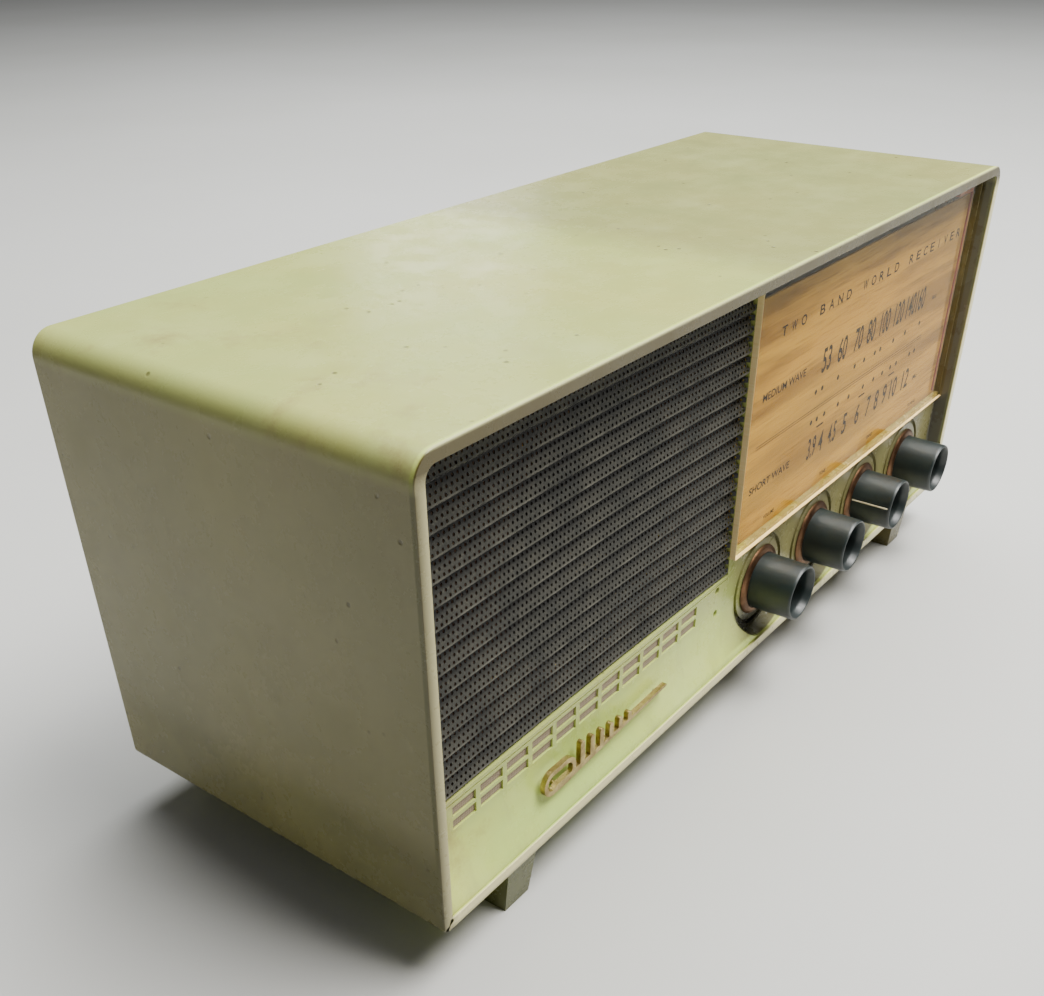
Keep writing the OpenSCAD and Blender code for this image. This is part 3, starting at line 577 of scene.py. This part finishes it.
def join(pieces, name):
    """Joins the pieces into the first of them."""
    only(pieces[0])
    for piece in pieces:
        piece.select_set(True)
    bpy.ops.object.join()
    return named(name)


def place(piece, body, material, slot, *replaced):
    """Gives a piece its material and the body it rides on, and hides the nodes it stands for."""
    piece.data.materials.clear()
    piece.data.materials.append(material)
    if replaced:
        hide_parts(*replaced)
    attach(piece, body)
    return piece


def turned(name, x, z, profile, segments=72):
    """A piece turned about an axis along y: a first ring, then ring after ring pulled out of it.

    profile is a list of (radius, y).
    """
    clear()
    radius, y = profile[0]
    bpy.ops.mesh.primitive_circle_add(vertices=segments, radius=radius * MM,
                                      location=mm(x, y, z), rotation=(math.pi / 2, 0, 0))
    settle()
    piece = named(name)
    edit(piece)
    for next_radius, next_y in profile[1:]:
        bpy.ops.mesh.extrude_edges_move(
            TRANSFORM_OT_translate={"value": (0, (next_y - y) * MM, 0)})
        grow = next_radius / radius
        bpy.ops.transform.resize(value=(grow, 1, grow))
        radius, y = next_radius, next_y
    bpy.ops.mesh.select_all(action="SELECT")
    bpy.ops.mesh.remove_doubles(threshold=0.00002)
    bpy.ops.mesh.normals_make_consistent(inside=False)
    bpy.ops.object.mode_set(mode="OBJECT")
    return piece


def softened(node, radius, body, material, slot, segments=2):
    """The node's own shape with its edges rounded over."""
    clear()
    source = NODES[node]
    source.select_set(True)
    bpy.context.view_layer.objects.active = source
    bpy.ops.object.duplicate()
    piece = named(node + "_rounded")
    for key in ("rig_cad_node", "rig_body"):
        if key in piece:
            del piece[key]
    piece.parent = None
    edit(piece)
    bpy.ops.mesh.remove_doubles(threshold=0.000005)
    bpy.ops.mesh.dissolve_limited(angle_limit=math.radians(0.5))
    bpy.ops.object.mode_set(mode="OBJECT")
    round_edges(piece, radius, segments)
    smooth(piece)
    return place(piece, body, material, slot, node)


# ---- the cabinet ----

BOSS = 14.0
BOSS_FRONT, BOSS_BACK = 148.0, 163.6


def make_cabinet():
    """A box open at the front and the back, hollowed to its wall, with a screw boss per corner."""
    shell = box_piece("cabinet_shell", mm(0, 0, 0), mm(WIDE, DEEP, TALL))
    for height, radius, steps in ((TALL, TOP_RADIUS, 12), (0, LOW_RADIUS, 5)):
        edit(shell, edges=lambda a, b: abs(a.z - b.z) < 1e-5 and abs(a.x - b.x) < 1e-5
             and abs(a.z - mm(0, 0, height).z) < 1e-4)
        bpy.ops.mesh.bevel(offset=radius * MM, segments=steps, profile=0.5)
        bpy.ops.object.mode_set(mode="OBJECT")
    edit(shell, faces=lambda c, n: abs(n.y) > 0.9)
    bpy.ops.mesh.delete(type="FACE")
    bpy.ops.object.mode_set(mode="OBJECT")
    modify(shell, "SOLIDIFY", thickness=WALL * MM, offset=-1, use_even_offset=True)
    round_edges(shell, 1.3, 4, 60)
    bosses = []
    for x in (WALL, WIDE - WALL - BOSS):
        for z in (WALL, TALL - WALL - BOSS):
            bosses.append(box_piece("boss", mm(x, BOSS_FRONT, z),
                                    mm(x + BOSS, BOSS_BACK, z + BOSS)))
            round_edges(bosses[-1], 0.8)
    shell = join([shell] + bosses, "cabinet_shell")
    smooth(shell, 40)
    return place(shell, "set", SAGE, "moulded_shell", "cabinet")


# ---- speaker grille ----

HOLE_PITCH = 2.4
HOLE_RADIUS = 0.6
HOLES_ACROSS = 82
FOLDS, FOLD_TALL = 15, 8.14
ROW_TALL = FOLD_TALL / 4
GRILLE_LEFT, GRILLE_TOP = 6.6, 167.4
SHEET_BACK = 10.4
FOLD_DEEP = 2.2
PUSHED_IN = 2.0
DENT = 0.5
# the last millimetre on the right, beside the dial lens, is pressed flat
FLAT_FROM = 202.4


def pierced_cell():
    """One hole with the sheet round it, out to the borders of its cell."""
    middle = mm(GRILLE_LEFT + HOLE_PITCH / 2, 8.6, GRILLE_TOP - ROW_TALL / 2)
    rings = []
    for ring in ("border", "hole"):
        clear()
        bpy.ops.mesh.primitive_circle_add(vertices=6, radius=HOLE_RADIUS * MM, location=middle,
                                          rotation=(math.pi / 2, 0, 0))
        settle()
        rings.append(named(ring))
    for point in rings[0].data.vertices:
        away = point.co - middle
        side = 0 if abs(away.x) < 1e-5 else math.copysign(HOLE_PITCH / 2, away.x) * MM
        point.co = middle + Vector((side, 0, math.copysign(ROW_TALL / 2, away.z) * MM))
    cell = join(rings, "speaker_grille_sheet")
    edit(cell, edges=lambda a, b: True)
    bpy.ops.mesh.bridge_edge_loops()
    bpy.ops.object.mode_set(mode="OBJECT")
    return cell


def repeat(piece, count, step):
    """Copies the piece on in steps, joined where the copies meet."""
    modify(piece, "ARRAY", count=count, use_relative_offset=False, use_constant_offset=True,
           constant_offset_displace=step, use_merge_vertices=True, merge_threshold=0.00001)


def press(sheet):
    """Presses the folds into the sheet, and marks each point with how far it leans out.

    Three rows lean out towards their foot and the fourth turns back in. The whole sheet has been
    pushed in, most in the middle, with a dent low down.
    """
    fold_mark = sheet.data.attributes.new("fold", "FLOAT", "POINT")
    for point, mark in zip(sheet.data.vertices, fold_mark.data):
        rows_down = (up(GRILLE_TOP) - point.co.z) / (ROW_TALL * MM) % 4
        rows_down = 0 if rows_down > 3.99 else rows_down
        lean = rows_down / 3 if rows_down < 3 else 4 - rows_down
        mark.value = lean
        off_middle = (point.co.x - across(100)) / 0.1
        over_middle = (point.co.z - up(100)) / 0.085
        bow = max(0.0, 1 - off_middle ** 2) * max(0.0, 1 - over_middle ** 2)
        dent = math.exp(-((point.co.x - across(132)) / 0.016) ** 2
                        - ((point.co.z - up(62)) / 0.008) ** 2)
        flat = min(1.0, max(0.0, (point.co.x - across(FLAT_FROM)) / MM))
        lean += (1 - lean) * flat
        point.co.y = back(SHEET_BACK - FOLD_DEEP * lean + PUSHED_IN * bow + DENT * dent)


def make_grille():
    """A folded sheet: one pierced cell, a row, four rows to a fold, then fold after fold down it."""
    sheet = pierced_cell()
    repeat(sheet, HOLES_ACROSS, (HOLE_PITCH * MM, 0, 0))
    # every other row is set over by half a cell
    only(sheet)
    bpy.ops.object.duplicate()
    second = named("row")
    edit(second)
    bpy.ops.transform.translate(value=(-HOLE_PITCH / 2 * MM, 0, -ROW_TALL * MM))
    bpy.ops.object.mode_set(mode="OBJECT")
    sheet = join([sheet, second], "speaker_grille_sheet")
    repeat(sheet, 2 * FOLDS, (0, 0, -2 * ROW_TALL * MM))
    press(sheet)
    edit(sheet)
    bpy.ops.mesh.normals_make_consistent(inside=False)
    bpy.ops.object.mode_set(mode="OBJECT")
    modify(sheet, "SOLIDIFY", thickness=0.3 * MM, offset=0)
    only(sheet)
    bpy.ops.object.shade_smooth_by_angle(angle=math.radians(25))
    return place(sheet, "set", GRILLE_GREY, "grille_sheet", "speaker_grille")


# ---- dial ----

PLATE_FACE = 11.2
INK_Y = PLATE_FACE - 0.06
TYPE_WEIGHT = 0.018
HEADING = "TWO BAND WORLD RECEIVER"
HEADING_X, HEADING_Z, HEADING_PITCH = 236.0, 144.4, 8.9
LETTER_TALL, LETTER_WIDE = 4.4, 5.0
MEDIUM_Z, SHORT_Z = 119.4, 78.2
MEDIUM_TALL, SHORT_TALL, BAND_NAME_TALL = 11.4, 10.6, 3.6
MEDIUM_SCALE = [(284, "53"), (300.5, "60"), (318, "70"), (332.5, "80"), (349, "100"),
                (366, "120"), (381, "140"), (394, "160")]
SHORT_SCALE = [(280.8, "3.9"), (290.5, "4"), (303, "4.5"), (316.7, "5"), (331.7, "6"),
               (344.7, "7"), (355, "8"), (365, "9"), (376.5, "10"), (392.5, "12")]
MEDIUM_DOTS_X = (276.7, 283.3, 300, 318.3, 329.2, 341.7, 348.3, 364.2, 379.2, 398.3)
SHORT_DOTS_X = (276.2, 282.2, 290, 304.7, 316.7, 333.3, 345.8, 356.7, 366.7, 374.2, 391.7, 398.3)
MEDIUM_DOTS_Z, SHORT_DOTS_Z = 106.1, 91.7
DOT = 2.4
BROADCAST_BANDS_X = (286.7, 333.3, 370)
BROADCAST_BANDS_Z = 87.4
CONTROL_NAMES = ("VOLUME", "TONE", "BAND", "TUNING")


def word(text, x, z, tall, wide=None, align="CENTER"):
    """Printed type on the veneer, made to the height and width it has there."""
    clear()
    bpy.ops.object.text_add(location=(0, 0, 0))
    bpy.context.object.data.body = text
    bpy.context.object.data.offset = TYPE_WEIGHT
    bpy.ops.object.convert(target="MESH")
    piece = named("type")
    widths = [v.co.x for v in piece.data.vertices]
    heights = [v.co.y for v in piece.data.vertices]
    grow = tall * MM / (max(heights) - min(heights))
    stretch = wide * MM / (max(widths) - min(widths)) if wide else grow
    start = {"CENTER": (max(widths) + min(widths)) / 2, "LEFT": min(widths)}[align]
    middle = (max(heights) + min(heights)) / 2
    at = mm(x, INK_Y, z)
    for point in piece.data.vertices:
        point.co = Vector((at.x + (point.co.x - start) * stretch, at.y,
                           at.z + (point.co.y - middle) * grow))
    return piece


def dot(x, z):
    """A station's dot."""
    clear()
    bpy.ops.mesh.primitive_circle_add(vertices=16, radius=0.5, fill_type="NGON",
                                      rotation=(math.pi / 2, 0, 0),
                                      location=mm(x, INK_Y, z))
    bpy.context.object.scale = (DOT * MM, DOT * MM, 1)
    settle()
    return named("dot")


def bar(x0, x1, z, tall):
    """A line printed across, or down, the veneer."""
    return box_piece("bar", mm(x0, PLATE_FACE - 0.1, z - tall / 2),
                     mm(x1, PLATE_FACE - 0.03, z + tall / 2))


def make_print():
    """The type, dots and lines printed on the veneer, and the varnish line at its left edge."""
    printed = []
    for i, letter in enumerate(HEADING):
        if letter != " ":
            wide = None if letter == "I" else LETTER_WIDE
            x = HEADING_X + i * HEADING_PITCH
            printed.append(word(letter, x, HEADING_Z, LETTER_TALL, wide))
    printed.append(word("MEDIUM WAVE", 223, MEDIUM_Z, BAND_NAME_TALL, 40, "LEFT"))
    printed.append(word("SHORT WAVE", 220, SHORT_Z, BAND_NAME_TALL, 38, "LEFT"))
    for x, text in MEDIUM_SCALE:
        printed.append(word(text, x, MEDIUM_Z, MEDIUM_TALL, 9.2 if len(text) < 3 else 11.4))
    for x, text in SHORT_SCALE:
        printed.append(word(text, x, SHORT_Z, SHORT_TALL, 4.6 if len(text) < 2 else 8.6))
    printed.append(word("kc", 414, 116.1, 2.6, 6))
    printed.append(word("Mc", 407, 75.4, 2.6, 6))
    printed += [dot(x, MEDIUM_DOTS_Z) for x in MEDIUM_DOTS_X]
    printed += [dot(x, SHORT_DOTS_Z) for x in SHORT_DOTS_X]
    printed += [bar(x - 3.5, x + 3.5, BROADCAST_BANDS_Z, 0.8) for x in BROADCAST_BANDS_X]
    printed += [bar(222, 405, z, 0.25) for z in (97.0, 98.2)]
    for x, text in zip(KNOB_X, CONTROL_NAMES):
        printed.append(word(text, x + 8, 59.5, 1.9, 1.75 * len(text)))
    place(join(printed, "dial_print"), "set", INK, "dial_wood")
    edging = bar(207.4, 208.7, 109, 106)
    edging.name = "dial_edging"
    round_edges(edging, 0.02)
    place(edging, "set", EDGING, "dial_wood")


LENS_LOW, LENS_HIGH = mm(203.25, 5, 54), mm(445.1, 7.98, 170.7)


def make_lens():
    """The clear sheet. Its left and lower edges are rounded over and have the sawn finish."""
    lens = box_piece("dial_lens_sheet", LENS_LOW, LENS_HIGH)
    edit(lens, edges=lambda a, b: a.x < 0 and b.x < 0 or a.z < 0.1 and b.z < 0.1)
    bpy.ops.mesh.bevel(offset=0.35 * MM, segments=2)
    bpy.ops.object.mode_set(mode="OBJECT")
    place(lens, "set", ACRYLIC, "clear_sheet", "dial_lens")
    lens.data.materials.append(ACRYLIC_EDGE)
    for face in lens.data.polygons:
        if face.normal.x < -0.7 or face.normal.z < -0.7:
            face.material_index = 1
    return lens


# ---- knobs ----

# radius and y, out along the barrel, over its lip and back down the hollow to the shaft's hole
KNOB_PROFILE = [
    (11.1, 7.5), (12.6, 7.6), (13.2, 7.3), (13.3, 6.6), (13.05, -8), (12.9, -13.6), (12.8, -14.4),
    (12.5, -14.9), (12.1, -15), (11.6, -14.7), (10.6, -12.2), (10.3, -11), (10.2, -3.2),
    (9.8, -2.3), (9.2, -2), (3.6, -2), (3.02, -1.6), (3.02, 7.0), (6.0, 7.1), (6.0, 3.2),
    (11.0, 3.0), (11.1, 7.5)]
# a pressed brass dish that grips the foot of the knob
RING_PROFILE = [
    (13.34, 7.4), (13.34, 6.3), (13.6, 5.8), (14.1, 5.7), (15.6, 6.3), (16.4, 6.9), (16.8, 7.5),
    (16.7, 7.62), (16.3, 7.6), (13.34, 7.4)]


def make_knobs():
    """Four hollow knobs, each with its brass ring, and the pointer line on the band knob."""
    for x, name, body in zip(KNOB_X, KNOB_NAMES, KNOB_BODIES):
        sleeve = turned("knob_" + name + "_sleeve", x, KNOB_Z, KNOB_PROFILE)
        smooth(sleeve, 40)
        place(sleeve, body, KNOB_BLACK, "dark_knob", "knob_" + name)
        ring = turned("ring_" + name + "_pressed", x, KNOB_Z, RING_PROFILE)
        smooth(ring, 40)
        place(ring, body, RING_BRASS, "brass_trim", "ring_" + name)
    band_x = KNOB_X[KNOB_NAMES.index("band")]
    line = box_piece("knob_band_line", mm(band_x - 13.22, -13.6, KNOB_Z + 2.0),
                     mm(band_x - 12.7, 5.5, KNOB_Z + 2.7))
    round_edges(line, 0.12)
    place(line, "band", CREAM, "cream_plastic")


# ---- finishes of the pieces kept from the model ----

KEPT = {
    CLOTH: ["vent_cloth"], VENEER: ["dial_plate"],
    BRASS: ["shaft_nuts", "lamp_holders", "volume_shaft", "tone_shaft", "band_shaft",
            "tuning_bush"],
    BRIGHT: ["foot_screws", "chassis_screws", "speaker_screws", "back_cover_screws",
             "tuning_spindle", "pointer_rail", "capacitor_rotor"],
    PLATED: ["chassis", "volume_control", "tone_control", "capacitor_frame", "dial_bracket",
             "capacitor_stator", "speaker_basket"],
    PHENOLIC_SHEET: ["band_switch", "valve_sockets", "aerial_sockets", "aerial_holders"],
    CREAM: ["drive_drum", "drive_cord", "pulley_left", "pulley_right"],
    NEEDLE: ["dial_pointer"], GLASS: ["dial_lamps", "valves"],
    HARDBOARD: ["speaker_baffle", "back_cover"], MAGNET: ["speaker_magnet"],
    PULP: ["speaker_cone", "speaker_surround"], COIL: ["voice_coil"],
    CORE: ["output_transformer", "mains_transformer"], CAN: ["if_cans", "smoothing_capacitor"],
    FERRITE: ["rod_aerial"], RUBBER: ["cord_grommet"],
}


def finish_kept():
    """Gives each node that keeps its own shape its finish."""
    for material, names in KEPT.items():
        for name in names:
            NODES[name].data.materials.clear()
            NODES[name].data.materials.append(material)


def make_floor():
    clear()
    bpy.ops.mesh.primitive_plane_add(size=12, location=(0, 0, 0))
    floor = named("floor")
    floor.data.materials.append(FLOOR)


set_camera()
set_lamp("sky", (1.05, 0.3, 2.1), (1.05, 0.3, 0), 2.4, 2.0, 110, (0.97, 1.0, 1.0))
set_lamp("key", (0.3, -0.6, 1.45), (0, 0, 0.1), 0.9, 0.7, 46, (1.0, 0.99, 0.95))
set_lamp("window", (1.4, 1.33, 0.7), (0, 0, 0.2), 0.35, 0.16, 1.2, (1.0, 0.96, 0.92))
set_world()

make_cabinet()
softened("fascia", 0.45, "set", SAGE, "moulded_shell")
softened("feet", 1.2, "set", SAGE, "moulded_shell", 3)
softened("ornament", 0.5, "set", GILT, "brass_trim", 3)
make_grille()
make_lens()
make_print()
make_knobs()
finish_kept()
make_floor()

clear()
